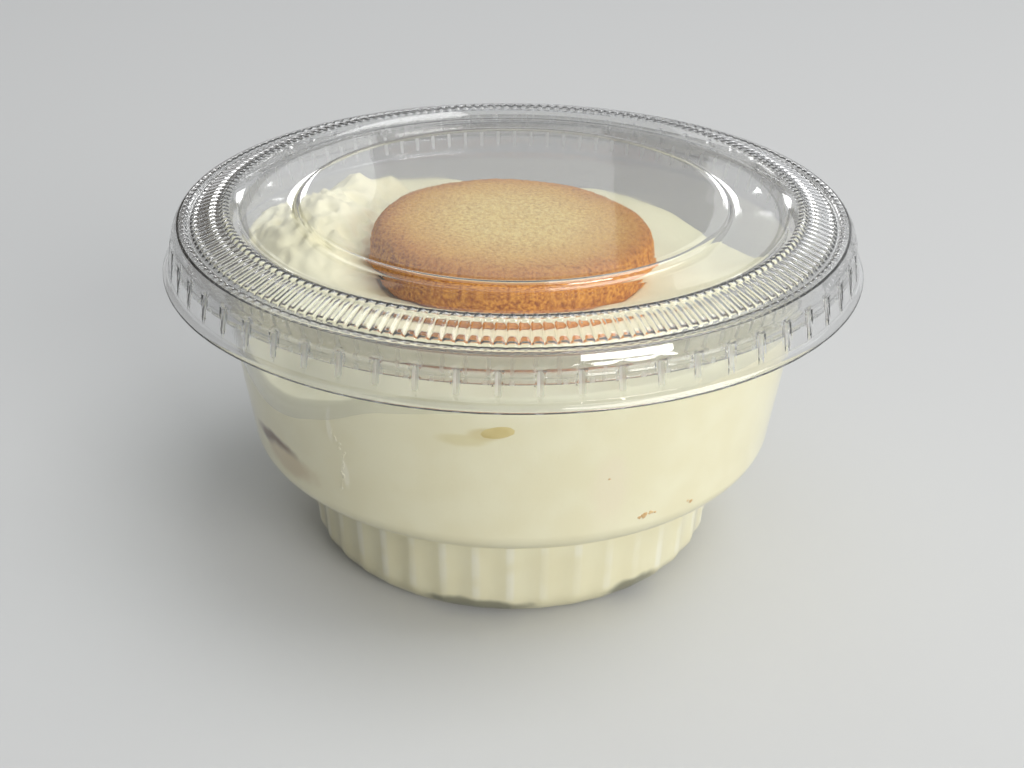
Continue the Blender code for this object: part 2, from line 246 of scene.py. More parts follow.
# Stains and painted shade where the wall shows them: azimuth in degrees, height, radii, raggedness, colour
WALL_STAINS_AND_SHADE = (
    # Side wafer's brown where it touches the wall, made darker by painted shade
    (-56.5, 22.3 * MM, (5.6 * MM, 5.6 * MM, 1.5 * MM), 0.4, (0.16, 0.075, 0.025, 1.0)),
    # Broad brownish darkening on the left: partly steeped wafer, partly painted shade of the dim left side
    (-52.0, 20.6 * MM, (6.0 * MM, 6.0 * MM, 2.0 * MM), 0.6, (0.72, 0.60, 0.38, 1.0)),
    (-8.5, 33.1 * MM, (3.2 * MM, 3.0 * MM, 0.9 * MM), 0.6, (0.80, 0.72, 0.42, 1.0)),
    (-4.6, 34.1 * MM, (2.4 * MM, 3.0 * MM, 1.0 * MM), 0.5, (0.76, 0.66, 0.36, 1.0)),
    (19.0, 24.5 * MM, (2.6 * MM, 2.6 * MM, 6.5 * MM), 0.9, (0.88, 0.80, 0.57, 1.0)),
    # Two thin upright lines lighter than the cream, along the pale flecks
    (-36.0, 31.0 * MM, (0.5 * MM, 0.5 * MM, 3.5 * MM), 1.2, (0.97, 0.92, 0.70, 1.0)),
    (-33.6, 24.5 * MM, (0.5 * MM, 0.5 * MM, 3.5 * MM), 1.4, (0.97, 0.92, 0.70, 1.0)),
    # Painted shade: dark patches low at the foot's corner, where the pudding leaves an air gap
    (-10.0, 1.6 * MM, (8.0 * MM, 5.0 * MM, 1.3 * MM), 0.7, (0.34, 0.33, 0.23, 1.0)),
    (36.0, 1.8 * MM, (4.5 * MM, 4.5 * MM, 1.5 * MM), 0.6, (0.30, 0.29, 0.20, 1.0)),
)

# Crumbs in the pudding at the wall: azimuth in degrees, height, radius
CRUMBS = (
    (27.2, 19.3 * MM, 0.40 * MM),
    (28.6, 19.5 * MM, 0.30 * MM),
    (26.1, 19.1 * MM, 0.24 * MM),
    (29.6, 19.3 * MM, 0.18 * MM),
    (38.8, 18.9 * MM, 0.28 * MM),
    (37.9, 19.2 * MM, 0.18 * MM),
    (18.5, 26.4 * MM, 0.16 * MM),
)
# Pale flecks of a crackled line at the wall: lowest and highest height, azimuths there, count
FLECKS = ((21.0 * MM, 27.0 * MM, -35.5, -33.0, 16), (27.0 * MM, 31.0 * MM, -33.0, -36.0, 10))
FLECK_RADIUS = 0.16 * MM
BIT_ROWS = 8
BIT_COLUMNS = 12

# Mounds on the pudding: centre x, centre y, rise, spread
MOUNDS = (
    (-27.0 * MM, 9.0 * MM, 4.4 * MM, 9.5 * MM),
    (-23.5 * MM, 22.0 * MM, 3.4 * MM, 3.8 * MM),
    (-30.0 * MM, -3.0 * MM, 3.0 * MM, 7.0 * MM),
    (-18.2 * MM, 24.6 * MM, 3.0 * MM, 2.6 * MM),
    (2.0 * MM, 34.0 * MM, -3.2 * MM, 15.0 * MM),
    (22.0 * MM, -20.0 * MM, 0.8 * MM, 9.0 * MM),
)
# Pockets where the pudding stands off the wall: azimuth, half width, depth, inner radius
POCKETS = (
    (math.radians(-54.0), math.radians(26.0), 9.0 * MM, 24.0 * MM),
    (math.radians(122.0), math.radians(27.0), 5.6 * MM, 14.0 * MM),
)


# Curves and outlines


def smoothstep(value):
    """Ease from 0 to 1."""
    held = min(max(value, 0.0), 1.0)
    return held * held * (3.0 - 2.0 * held)


def rounded(corners, steps):
    """Path through corners (r, z, radius), each corner softened over its radius."""
    path = []
    for i, (r, z, radius) in enumerate(corners):
        here = Vector((r, z))
        if i == 0 or i == len(corners) - 1 or radius == 0.0:
            path.append((r, z))
            continue
        before = Vector(corners[i - 1][:2]) - here
        after = Vector(corners[i + 1][:2]) - here
        start = here + before.normalized() * min(radius, 0.45 * before.length)
        end = here + after.normalized() * min(radius, 0.45 * after.length)
        for k in range(steps + 1):
            t = k / steps
            point = start * (1 - t) ** 2 + here * 2 * t * (1 - t) + end * t ** 2
            path.append((point.x, point.y))
    return path


def left_normal(start, end):
    """Unit normal on the left of a segment in the radius and height plane."""
    along = Vector((end[0] - start[0], end[1] - start[1])).normalized()
    return Vector((-along.y, along.x))


def offset(path, distance):
    """Path moved to its left by a distance; points on the axis stay on it."""
    moved = []
    for i, (r, z) in enumerate(path):
        normals = []
        if i > 0:
            normals.append(left_normal(path[i - 1], path[i]))
        if i < len(path) - 1:
            normals.append(left_normal(path[i], path[i + 1]))
        bisector = sum(normals, Vector((0.0, 0.0))).normalized()
        reach = distance / max(bisector.dot(normals[0]), 0.5)
        moved.append((0.0 if r == 0.0 else r + bisector.x * reach, z + bisector.y * reach))
    return moved


def quarter(centre, across, up, first, last, steps):
    """Points of an elliptical arc between two angles measured from straight down."""
    points = []
    for i in range(steps + 1):
        angle = first + (last - first) * i / steps
        points.append((centre[0] + across * math.sin(angle), centre[1] - up * math.cos(angle)))
    return points


def filled_in(path, longest):
    """Path with extra points wherever two neighbours are further apart than a length."""
    dense = [path[0]]
    for end in path[1:]:
        start = dense[-1]
        pieces = max(1, math.ceil(math.dist(start, end) / longest))
        for k in range(1, pieces + 1):
            t = k / pieces
            dense.append((start[0] + (end[0] - start[0]) * t, start[1] + (end[1] - start[1]) * t))
    return dense


def rolled_edge(start, end, steps=4):
    """Half round that joins the ends of a sheet's two faces."""
    middle = (Vector(start) + Vector(end)) / 2
    across = (Vector(start) - Vector(end)) / 2
    out = Vector((across.y, -across.x))
    angles = [math.pi * i / steps for i in range(1, steps)]
    return [tuple(middle + across * math.cos(angle) + out * math.sin(angle)) for angle in angles]


def row_counts(path, columns):
    """Columns of each row of a path, neighbours no more than a factor of two apart."""
    counts = [columns(r, z) for r, z in path]
    for i in range(1, len(counts)):
        counts[i] = max(counts[i], counts[i - 1] // 2)
    for i in reversed(range(len(counts) - 1)):
        counts[i] = max(counts[i], counts[i + 1] // 2)
    return counts


def band_faces(upper, upper_count, lower, lower_count):
    """Faces between two rows, which are equally fine or one twice as fine as the other."""
    faces = []
    count = min(upper_count, lower_count)
    for k in range(count):
        ahead = (k + 1) % count
        if upper_count == lower_count:
            faces.append((upper + k, lower + k, lower + ahead, upper + ahead))
        elif upper_count < lower_count:
            middle = lower + 2 * k + 1
            faces.append((upper + k, lower + 2 * k, middle))
            faces.append((upper + k, middle, upper + ahead))
            faces.append((upper + ahead, middle, lower + 2 * ahead))
        else:
            middle = upper + 2 * k + 1
            faces.append((upper + 2 * k, lower + k, middle))
            faces.append((middle, lower + k, lower + ahead))
            faces.append((middle, lower + ahead, upper + 2 * ahead))
    return faces


def lathe(name, path, columns, shape):
    """Closed mesh turned about Z from a path that starts and ends on the axis.

    columns(r, z) gives how many columns a row needs, and shape(r, z, azimuth) gives the
    point's own radius and height there.
    """
    points, faces = [(0.0, 0.0, path[0][1])], []
    rows = []
    between = path[1:-1]
    for (r, z), count in zip(between, row_counts(between, columns)):
        rows.append((len(points), count))
        for k in range(count):
            azimuth = 2 * math.pi * k / count
            here_r, here_z = shape(r, z, azimuth)
            points.append((here_r * math.sin(azimuth), -here_r * math.cos(azimuth), here_z))
    first, first_count = rows[0]
    faces += [(0, first + k, first + (k + 1) % first_count) for k in range(first_count)]
    for (upper, upper_count), (lower, lower_count) in zip(rows, rows[1:]):
        faces += band_faces(upper, upper_count, lower, lower_count)
    last, last_count = rows[-1]
    points.append((0.0, 0.0, path[-1][1]))
    faces += [(last + k, len(points) - 1, last + (k + 1) % last_count) for k in range(last_count)]
    return mesh_piece(name, points, faces)


def mesh_piece(name, points, faces):
    """Smooth-shaded mesh object in the scene."""
    mesh = bpy.data.meshes.new(name)
    mesh.from_pydata(points, [], faces)
    mesh.shade_smooth()
    piece = bpy.data.objects.new(name, mesh)
    bpy.context.scene.collection.objects.link(piece)
    return piece


def stands_for(piece, node, material):
    """Give a piece its material and its body, and hide the imported solid that it stands for."""
    piece.data.materials.append(material)
    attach(piece, BODY)
    if node:
        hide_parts(node)


# Cup


def cup_under():
    """Under face of the cup's sheet, from the centre of the foot up to its mouth."""
    flat = FOOT_RADIUS - FOOT_EDGE
    path = rounded(
        [
            (0.0, FOOT_RECESS, 0.0),
            (FOOT_RING_INNER - FOOT_RECESS, FOOT_RECESS, 0.5 * MM),
            (FOOT_RING_INNER, 0.0, 0.4 * MM),
            (flat, 0.0, 0.0),
        ],
        3,
    )[:-1]
    path += quarter((flat, FOOT_EDGE), FOOT_EDGE, FOOT_EDGE, 0.0, math.pi / 2, 10)
    path += quarter(
        (FOOT_TOP_RADIUS, SHOULDER_TOP),
        SHOULDER_RADIUS - FOOT_TOP_RADIUS,
        SHOULDER_TOP - FOOT_TOP,
        0.0,
        math.pi / 2,
        14,
    )
    path += rounded(
        [
            (STACK_RADIUS, STACK_HEIGHT - 1.2 * MM, 0.0),
            (STACK_RADIUS + 0.1 * MM, STACK_HEIGHT, 0.15 * MM),
            (STACK_RADIUS + 0.35 * MM, STACK_HEIGHT + 0.25 * MM, 0.15 * MM),
            (MOUTH_RADIUS, MOUTH_HEIGHT, 0.0),
        ],
        3,
    )
    return filled_in(path, CUP_STEP)


def cup_rim():
    """Under face of the flat rim and its turned-down lip."""
    return rounded(
        [
            (MOUTH_RADIUS + 0.1 * MM, MOUTH_HEIGHT + 0.4 * MM, 0.0),
            (MOUTH_RADIUS + 0.4 * MM, RIM_HEIGHT, 0.5 * MM),
            (RIM_RADIUS, RIM_HEIGHT, 0.7 * MM),
            (RIM_RADIUS, RIM_HEIGHT - RIM_LIP + CUP_SHEET / 2, 0.0),
        ],
        5,
    )


def flute(z, azimuth):
    """How far the foot's wall is pressed in at a height and azimuth."""
    share = smoothstep(z / (0.6 * FOOT_EDGE)) * smoothstep((FOOT_TOP + 0.6 * MM - z) / (1.2 * MM))
    return FLUTE_DEPTH * share * (0.5 - 0.5 * math.cos(FLUTES * azimuth)) ** 0.6


def cup_shape(r, z, azimuth):
    """Cup's point with the flutes pressed in and a thermoformed sheet's faint waver."""
    if r < FOOT_RADIUS - FOOT_EDGE:
        return r, z
    way = Vector((math.sin(azimuth), math.cos(azimuth), z / CUP_WAVER_LENGTH))
    waver = CUP_WAVER * noise.noise(way * 2.2)
    return r - flute(z, azimuth) + waver * smoothstep((z - SHOULDER_TOP) / (6.0 * MM)), z


def wall_radius(z, azimuth):
    """Radius of the cup's inner face at a height above the foot's floor."""
    for (low_r, low_z), (high_r, high_z) in zip(CUP_INSIDE, CUP_INSIDE[1:]):
        if low_z <= z <= high_z:
            share = (z - low_z) / max(high_z - low_z, 1e-9)
            return low_r + (high_r - low_r) * share - flute(z, azimuth)
    return CUP_INSIDE[-1][0]


def make_cup(plastic):
    """Cup with its fluted foot, shoulder, flared wall and turned-down rim."""
    under = cup_under() + cup_rim()
    inside = offset(under, CUP_SHEET)
    path = inside + rolled_edge(inside[-1], under[-1]) + list(reversed(under))
    cup = lathe("clear_cup", path, lambda r, z: CUP_COLUMNS, cup_shape)
    stands_for(cup, "cup", plastic)


# Lid


def band_height(r):
    """Height of the ribbed band's own slope at a radius, without its ribs."""
    crest = DISC_HEIGHT + CREST_RISE
    outer = DISC_HEIGHT - SHOULDER_DROP - 0.10 * MM
    return crest + (outer - crest) * (r - CREST_RADIUS) / (RIB_BAND_RADIUS - CREST_RADIUS)


def lid_corners():
    """Corners of the lid's top face, from the middle of the disc out to the flange."""
    recess = DISC_HEIGHT - DISC_STEP
    shoulder = DISC_HEIGHT - SHOULDER_DROP
    bead_rows = [CREST_RADIUS + BEAD_ROW_GAP * i for i in range(1, BEAD_ROWS + 1)]
    end_rows = [RIB_BAND_RADIUS - RIB_ROW_GAP * i for i in (2, 1)]
    corners = [
        (0.0, DISC_HEIGHT, 0.0),
        (DISC_RADIUS, DISC_HEIGHT, 0.5 * MM),
        (DISC_RADIUS + DISC_RUN, recess + 0.05 * MM, 0.5 * MM),
        (RECESS_RADIUS, recess - 0.15 * MM, 0.9 * MM),
        (CREST_RADIUS - 1.0 * MM, DISC_HEIGHT + CREST_RISE - 0.45 * MM, 0.6 * MM),
        (CREST_RADIUS, DISC_HEIGHT + CREST_RISE, 0.4 * MM),
    ]
    corners += [(r, band_height(r), 0.0) for r in bead_rows + end_rows]
    corners += [
        (RIB_BAND_RADIUS, band_height(RIB_BAND_RADIUS), 0.3 * MM),
        (RIB_BAND_RADIUS + 0.5 * MM, shoulder - 0.40 * MM, 0.3 * MM),
        (DASH_RADIUS - 0.2 * MM, shoulder, 0.0),
        (DASH_RADIUS, shoulder, 0.0),
        (DASH_RADIUS + 0.2 * MM, shoulder, 0.0),
    ]
    corners += thread_corners(shoulder)
    corners += [
        (SKIRT_TOP_RADIUS, DISC_HEIGHT - SKIRT_TOP_DROP, 0.3 * MM),
        (SKIRT_RADIUS, DISC_HEIGHT - SKIRT_DROP, 0.35 * MM),
        (LID_RADIUS - LID_SHEET / 2, DISC_HEIGHT - SKIRT_DROP - FLANGE_DROP, 0.0),
    ]
    return corners


def thread_corners(shoulder):
    """Fine concentric threads that run round the shoulder between the dashes and the skirt."""
    start = Vector((SHOULDER_LINE_RADIUS, shoulder - 0.05 * MM))
    end = Vector((SKIRT_TOP_RADIUS, DISC_HEIGHT - SKIRT_TOP_DROP))
    along = (end - start).normalized()
    out = Vector((-along.y, along.x))
    corners = [(start.x, start.y, 0.4 * MM)]
    for i in range(2 * THREADS):
        point = start + along * THREAD_PITCH * (0.6 + 0.5 * i) + out * THREAD_HEIGHT * (i % 2)
        corners.append((point.x, point.y, 0.0))
    return corners


def rib_rise(r, azimuth):
    """How far the ribs, the bead at each rib's inner end and the dashes stand up at a point."""
    turn = (azimuth * RIBS / (2 * math.pi)) % 1.0
    aside = 2 * min(turn, 1.0 - turn)
    flat_top = smoothstep((0.95 - aside) / 0.5)
    length = smoothstep((r - RIB_START) / (0.3 * MM)) * smoothstep((RIB_BAND_RADIUS - r) / (0.25 * MM))
    bead = math.exp(-(((r - BEAD_RADIUS) / BEAD_SPREAD) ** 2) - (aside / 0.5) ** 2)
    dash = math.exp(-(((r - DASH_RADIUS) / (0.2 * MM)) ** 2)) * flat_top
    return RIB_HEIGHT * length * flat_top + BEAD_HEIGHT * bead + DASH_HEIGHT * dash


def notch_bite(z, azimuth):
    """How far the skirt's wedge-shaped notches are pressed in at a height and azimuth."""
    top = DISC_HEIGHT - SKIRT_TOP_DROP
    down = (top - z) / (SKIRT_DROP - SKIRT_TOP_DROP)
    turn = ((azimuth - NOTCH_TURN) * NOTCHES / (2 * math.pi)) % 1.0
    aside = 2 * min(turn, 1.0 - turn)
    share = max(1.0 - down / NOTCH_END, 0.0)
    half_width = NOTCH_SPREAD * share + NOTCH_TIP
    bite = NOTCH_DEPTH * share * max(1.0 - aside / half_width, 0.0)
    return bite * smoothstep((down + 0.05) / 0.12)


def lid_shape(r, z, azimuth):
    """Lid's point with the ribs, their beads, the row of dashes and the skirt's notches."""
    if r > CREST_RADIUS and r < SHOULDER_LINE_RADIUS and z > DISC_HEIGHT - 3.0 * MM:
        z += rib_rise(r, azimuth)
    if r > SKIRT_TOP_RADIUS - 0.6 * MM and z < DISC_HEIGHT - SKIRT_TOP_DROP + 0.2 * MM:
        r -= notch_bite(z, azimuth)
    return r, z


def lid_columns(r, z):
    """Columns of a row of the lid: most on the ribs, many on the skirt, few on the disc."""
    if CREST_RADIUS < r < DASH_RADIUS + 0.5 * MM and z > DISC_HEIGHT - 3.0 * MM:
        return 8 * RIBS if r < RIB_BAND_RADIUS + 0.1 * MM else 4 * RIBS
    if r > SKIRT_TOP_RADIUS - 0.7 * MM and z < DISC_HEIGHT - SKIRT_TOP_DROP + 0.1 * MM:
        return 4 * RIBS
    return 2 * RIBS if r > 0.9 * DISC_RADIUS else RIBS // 2


def make_lid(plastic):
    """Snap lid: raised disc, recess, ribbed band, stepped shoulder, notched skirt and flange."""
    top = filled_in(rounded(lid_corners(), 2), LID_STEP)
    disc = [point for point in top if point[0] < DISC_RADIUS - 4.0 * MM]
    top = disc[::5] + top[len(disc):]
    under = offset(top, -LID_SHEET)
    path = top + rolled_edge(top[-1], under[-1]) + list(reversed(under))
    lid = lathe("snap_lid", path, lid_columns, lid_shape)
    low, high = DISC_HEIGHT - SKIRT_DROP, DISC_HEIGHT - SKIRT_TOP_DROP
    for face in lid.data.polygons:
        face.use_smooth = not (low < face.center.z < high - LID_SHEET)
    stands_for(lid, "lid", plastic)


# Pudding


def pudding_height(x, y):
    """Height of the pudding's top surface at a point."""
    radius = math.hypot(x, y)
    azimuth = math.atan2(x, -y)
    height = FILL_HEIGHT
    for mound_x, mound_y, rise, spread in MOUNDS:
        away = math.hypot(x - mound_x, y - mound_y) / spread
        height += rise * math.exp(-away * away)
    for centre, half_width, depth, inner in POCKETS:
        turn = (azimuth - centre + math.pi) % (2 * math.pi) - math.pi
        reach = smoothstep((radius - inner) / (MOUTH_RADIUS - inner))
        height -= depth * reach * math.exp(-((turn / half_width) ** 2))
    from_peak = math.hypot(x - MOUNDS[0][0], y - MOUNDS[0][1]) / WHIP_REACH
    rough = math.exp(-from_peak * from_peak)
    height += RIPPLE * noise.noise(Vector((x, y, 0.0)) / RIPPLE_LENGTH)
    height += WHIP * rough * noise.noise(Vector((x, y, 0.6 * WHIP_LENGTH)) / WHIP_LENGTH)
    for length, share in ((TORN_LENGTH, 1.0), (0.55 * TORN_LENGTH, 0.6)):
        torn = 1.0 - 2.4 * abs(noise.noise(Vector((x, y, length)) / length))
        height += share * TORN * rough * torn
    curd = noise.fractal(Vector((x, y, 0.0)) / CURD_LENGTH, 0.8, 2.1, 4)
    height += CURD * (0.4 + 3.6 * rough) * curd
    return height


def wafer_seat(x, y, height):
    """Pudding's height with the top wafer's seat pressed into it."""
    away = math.hypot(x - TOP_WAFER_PLACE.x, y - TOP_WAFER_PLACE.y)
    inside = smoothstep((WAFER_RADIUS - 0.4 * MM - away) / (0.8 * MM))
    floor = TOP_WAFER_PLACE.z + 0.4 * MM
    return height + (floor - height) * inside


def corner_gap(azimuth):
    """Height of the air left in the foot's corner, where the pudding didn't run in."""
    around = Vector((math.sin(azimuth), -math.cos(azimuth), 0.0))
    front = math.exp(-((math.degrees(azimuth + 0.1) / 24.0) ** 2)) if azimuth < math.pi else 0.0
    return (0.5 + 0.9 * max(noise.noise(around * 1.7), 0.0) + 0.9 * front) * MM


def pudding_points():
    """Rows of the pudding's points, from the middle of its top over the wall to its underside."""
    rows = []
    edge = []
    for k in range(PUDDING_COLUMNS):
        azimuth = 2 * math.pi * k / PUDDING_COLUMNS
        height = FILL_HEIGHT
        for _ in range(6):
            radius = wall_radius(height, azimuth)
            height = pudding_height(radius * math.sin(azimuth), -radius * math.cos(azimuth))
        edge.append((azimuth, height))
    for i in range(1, SURFACE_RINGS + 1):
        row = []
        for azimuth, height in edge:
            rim = wall_radius(height, azimuth) + BITE - EDGE_IN
            radius = rim * (i / SURFACE_RINGS) ** 0.9
            x, y = radius * math.sin(azimuth), -radius * math.cos(azimuth)
            row.append((x, y, wafer_seat(x, y, pudding_height(x, y))))
        rows.append(row)
    floor = CUP_INSIDE[0][1]
    for i in range(1, WALL_LEVELS + 1):
        row = []
        for azimuth, height in edge:
            low = floor + corner_gap(azimuth)
            z = height + (low - height) * i / WALL_LEVELS
            off_wall = EDGE_IN * max(1.0 - (height - z) / EDGE_DOWN, 0.0) ** 2
            radius = wall_radius(z, azimuth) + BITE - off_wall
            row.append((radius * math.sin(azimuth), -radius * math.cos(azimuth), z))
        rows.append(row)
    last = rows[-1]
    for share, drop in ((0.985, 0.45), (0.955, 0.8), (0.9, 1.0), (0.5, 1.0)):
        rows.append([(x * share, y * share, z + (floor - z) * drop) for x, y, z in last])
    return rows


def make_pudding(cream):
    """Pudding out to the cup's wall, with its whipped top and the wafer's seat."""
    rows = pudding_points()
    points = [(0.0, 0.0, wafer_seat(0.0, 0.0, FILL_HEIGHT))]
    for row in rows:
        points += row
    points.append((0.0, 0.0, rows[-1][0][2]))
    faces = []
    columns = PUDDING_COLUMNS
    for k in range(columns):
        faces.append((0, 1 + k, 1 + (k + 1) % columns))
    for i in range(len(rows) - 1):
        start = 1 + i * columns
        for k in range(columns):
            ahead = (k + 1) % columns
            faces.append((start + k, start + columns + k, start + columns + ahead, start + ahead))
    start = 1 + (len(rows) - 1) * columns
    for k in range(columns):
        faces.append((start + k, len(points) - 1, start + (k + 1) % columns))
    pudding = mesh_piece("pudding_fill", points, faces)
    stands_for(pudding, "pudding", cream)


# Wafers and banana


def wafer_side():
    """Right half of a wafer's section: low dome, soft edge, bulging side and flat underside."""
    thickness = WAFER_THICKNESS
    radius = WAFER_RADIUS
    corners = [
        (0.0, thickness, 0.0),
        (0.62 * radius, thickness - 0.3 * WAFER_DOME, 4.0 * MM),
        (0.86 * radius, thickness - WAFER_DOME, 1.2 * MM),
        (0.945 * radius, 0.90 * thickness, 1.0 * MM),
        (0.985 * radius, 0.74 * thickness, 1.0 * MM),
        (radius, 0.50 * thickness, 1.0 * MM),
        (0.985 * radius, 0.27 * thickness, 1.0 * MM),
        (0.93 * radius, 0.07 * thickness, 0.6 * MM),
        (0.87 * radius, 0.0, 0.5 * MM),
        (0.0, 0.0, 0.0),
    ]
    return filled_in(rounded(corners, 4), WAFER_STEP)


def slice_side():
    """Right half of a banana slice's section, with its rounded rim."""
    half = SLICE_THICKNESS / 2
    rim = quarter((SLICE_RADIUS - half, half), half, half, 0.0, math.pi, 16)
    return filled_in([(0.0, SLICE_THICKNESS)] + list(reversed(rim)) + [(0.0, 0.0)], SLICE_STEP)


def crumbed(seed):
    """Shape of a wafer's surface: uneven outline, fine crumb and slow swells."""
    def shape(r, z, azimuth):
        angle = azimuth - math.pi / 2
        wave = math.sin(2 * angle + seed) + 0.6 * math.sin(3 * angle + 2.1 * seed)
        here = Vector((r * math.sin(azimuth), -r * math.cos(azimuth), z))
        crumb = noise.fractal(here / (0.75 * MM) + Vector((seed, 0.0, 0.0)), 0.7, 2.0, 3)
        swell = noise.noise(here / (5.0 * MM) + Vector((0.0, seed, 0.0)))
        out = r / WAFER_RADIUS
        top = 1.0 if z > 0.8 * WAFER_THICKNESS else 0.0
        return (
            r + WAFER_UNEVEN * wave * out ** 3 + (0.13 * crumb + 0.12 * swell) * MM * out,
            z + top * (0.04 * crumb + 0.10 * swell) * MM,
        )
    return shape


def wafer_columns(r, z):
    """Columns of a row of a wafer, fewer towards its middle."""
    return WAFER_COLUMNS if r > 0.25 * WAFER_RADIUS else WAFER_COLUMNS // 4


def softened(r, z, azimuth):
    """Banana slice's point, its outline a little lobed and its faces a little sunk."""
    out = r / SLICE_RADIUS
    lobes = 0.18 * MM * math.cos(3 * azimuth + 0.6) + 0.10 * MM * math.sin(5 * azimuth)
    sunk = 0.15 * MM * (1.0 - out * out) * (1.0 if z > SLICE_THICKNESS / 2 else -1.0)
    return r + lobes * out ** 3, z - sunk


def tilted(where, tilt):
    """Matrix that tilts a piece about its own origin and sets it down."""
    turn = Matrix.Rotation(tilt[2], 4, "Z") @ Matrix.Rotation(tilt[1], 4, "Y")
    return Matrix.Translation(where) @ turn @ Matrix.Rotation(tilt[0], 4, "X")


def off_axis(azimuth, reach, height):
    """Point at an azimuth, a distance out from the cup's axis and a height."""
    return Vector((math.sin(azimuth) * reach, -math.cos(azimuth) * reach, height))


def held_by_wall(piece):
    """Flatten what would pass the cup's wall against it, reaching just into the wall."""
    inverse = piece.matrix_world.inverted()
    for vertex in piece.data.vertices:
        point = piece.matrix_world @ vertex.co
        azimuth = math.atan2(point.x, -point.y)
        radius = math.hypot(point.x, point.y)
        limit = wall_radius(point.z, azimuth) + PIECE_BITE
        if radius > limit:
            scale = limit / radius
            vertex.co = inverse @ Vector((point.x * scale, point.y * scale, point.z))


def make_wafers(biscuit):
    """Wafer pressed into the top and the one that leans on the wall."""
    top = lathe("vanilla_wafer_top", wafer_side(), wafer_columns, crumbed(TOP_WAFER_SEED))
    top.matrix_world = tilted(TOP_WAFER_PLACE, TOP_WAFER_TILT)
    stands_for(top, "top_wafer", biscuit)
    side = lathe("vanilla_wafer_side", wafer_side(), wafer_columns, crumbed(SIDE_WAFER_SEED))
    side_place = off_axis(SIDE_WAFER_AZIMUTH, SIDE_WAFER_REACH, SIDE_WAFER_HEIGHT)
    side.matrix_world = tilted(side_place, SIDE_WAFER_TILT)
    held_by_wall(side)
    stands_for(side, "side_wafer", biscuit)


def lumpy_bits(name, places):
    """One mesh of lumpy bits that lie in the pudding at the wall."""
    points, faces = [], []
    for i, (azimuth, height, size) in enumerate(places):
        turn = math.radians(azimuth)
        centre = off_axis(turn, wall_radius(height, turn) - 0.1 * size, height)
        start = len(points)
        for row in range(BIT_ROWS + 1):
            polar = math.pi * (row + 0.02) / (BIT_ROWS + 0.04)
            for k in range(BIT_COLUMNS):
                around = 2 * math.pi * k / BIT_COLUMNS
                flat = math.sin(polar)
                way = Vector((flat * math.cos(around), flat * math.sin(around), math.cos(polar)))
                lump = 1.0 + 0.6 * noise.noise(way * 1.8 + Vector((i, 0.0, 0.0)))
                points.append(tuple(centre + Vector((way.x * 1.4, way.y, way.z)) * size * lump))
        for row in range(BIT_ROWS):
            low, high = start + row * BIT_COLUMNS, start + (row + 1) * BIT_COLUMNS
            for k in range(BIT_COLUMNS):
                ahead = (k + 1) % BIT_COLUMNS
                faces.append((low + k, high + k, high + ahead, low + ahead))
        last = start + BIT_ROWS * BIT_COLUMNS
        faces.append(tuple(start + k for k in range(BIT_COLUMNS)))
        faces.append(tuple(last + k for k in reversed(range(BIT_COLUMNS))))
    bits = mesh_piece(name, points, faces)
    held_by_wall(bits)
    return bits


def fleck_places():
    """Azimuth, height and radius of each pale fleck along its crackled line."""
    places = []
    for low, high, first, last, count in FLECKS:
        for i in range(count):
            share = i / count
            stray = noise.noise(Vector((7.3 * i, first, 0.5)))
            azimuth = first + (last - first) * share + 1.1 * stray
            size = FLECK_RADIUS * (1.0 + 0.9 * noise.noise(Vector((first, 5.1 * i, 0.5))))
            places.append((azimuth, low + (high - low) * share, size))
    return places


def make_bits(crumb, fleck):
    """Wafer crumbs and pale flecks that show where the pudding meets the wall."""
    stands_for(lumpy_bits("wafer_crumbs", CRUMBS), None, crumb)
    stands_for(lumpy_bits("cream_flecks", fleck_places()), None, fleck)


def make_banana(flesh):
    """Banana slice whose edge shows at the wall."""
    piece = lathe("banana_round", slice_side(), lambda r, z: SLICE_COLUMNS, softened)
    slice_place = off_axis(SLICE_AZIMUTH, SLICE_REACH, SLICE_HEIGHT)
    piece.matrix_world = tilted(slice_place, SLICE_TILT)
    held_by_wall(piece)
    stands_for(piece, "banana_slice", flesh)


# Materials


def fill_sockets(tree, made, inputs):
    """Set a node's inputs to values, or link them from sockets."""
    for name, value in inputs.items():
        if isinstance(value, bpy.types.NodeSocket):
            tree.links.new(value, made.inputs[name])
        else:
            made.inputs[name].default_value = value


def add(tree, kind, inputs=None, **settings):
    """New node with its settings, and its inputs set to values or linked from sockets."""
    made = tree.nodes.new(kind)
    for name, value in settings.items():
        setattr(made, name, value)
    fill_sockets(tree, made, inputs or {})
    return made


def maths(tree, operation, first, second=0.0, third=0.0):
    """Output of a Math node."""
    made = add(tree, "ShaderNodeMath", {0: first, 1: second, 2: third}, operation=operation)
    return made.outputs[0]


def blend(tree, share, first, second):
    """Colour mixed from two by a share."""
    made = add(tree, "ShaderNodeMix", {0: share, 6: first, 7: second}, data_type="RGBA")
    return made.outputs[2]


def ramp(tree, value, low, high, to_low=0.0, to_high=1.0):
    """Value eased from one range to another."""
    inputs = {"Value": value, "From Min": low, "From Max": high, "To Min": to_low, "To Max": to_high}
    made = add(tree, "ShaderNodeMapRange", inputs, interpolation_type="SMOOTHSTEP")
    return made.outputs["Result"]


def new_group(name, inputs, outputs):
    """Shader node group with named number, vector or colour sockets."""
    tree = bpy.data.node_groups.new(name, "ShaderNodeTree")
    for label, kind in inputs:
        tree.interface.new_socket(label, in_out="INPUT", socket_type=kind)
    for label, kind in outputs:
        tree.interface.new_socket(label, in_out="OUTPUT", socket_type=kind)
    return tree, tree.nodes.new("NodeGroupInput").outputs, tree.nodes.new("NodeGroupOutput")


FLOAT = "NodeSocketFloat"
VECTOR = "NodeSocketVector"


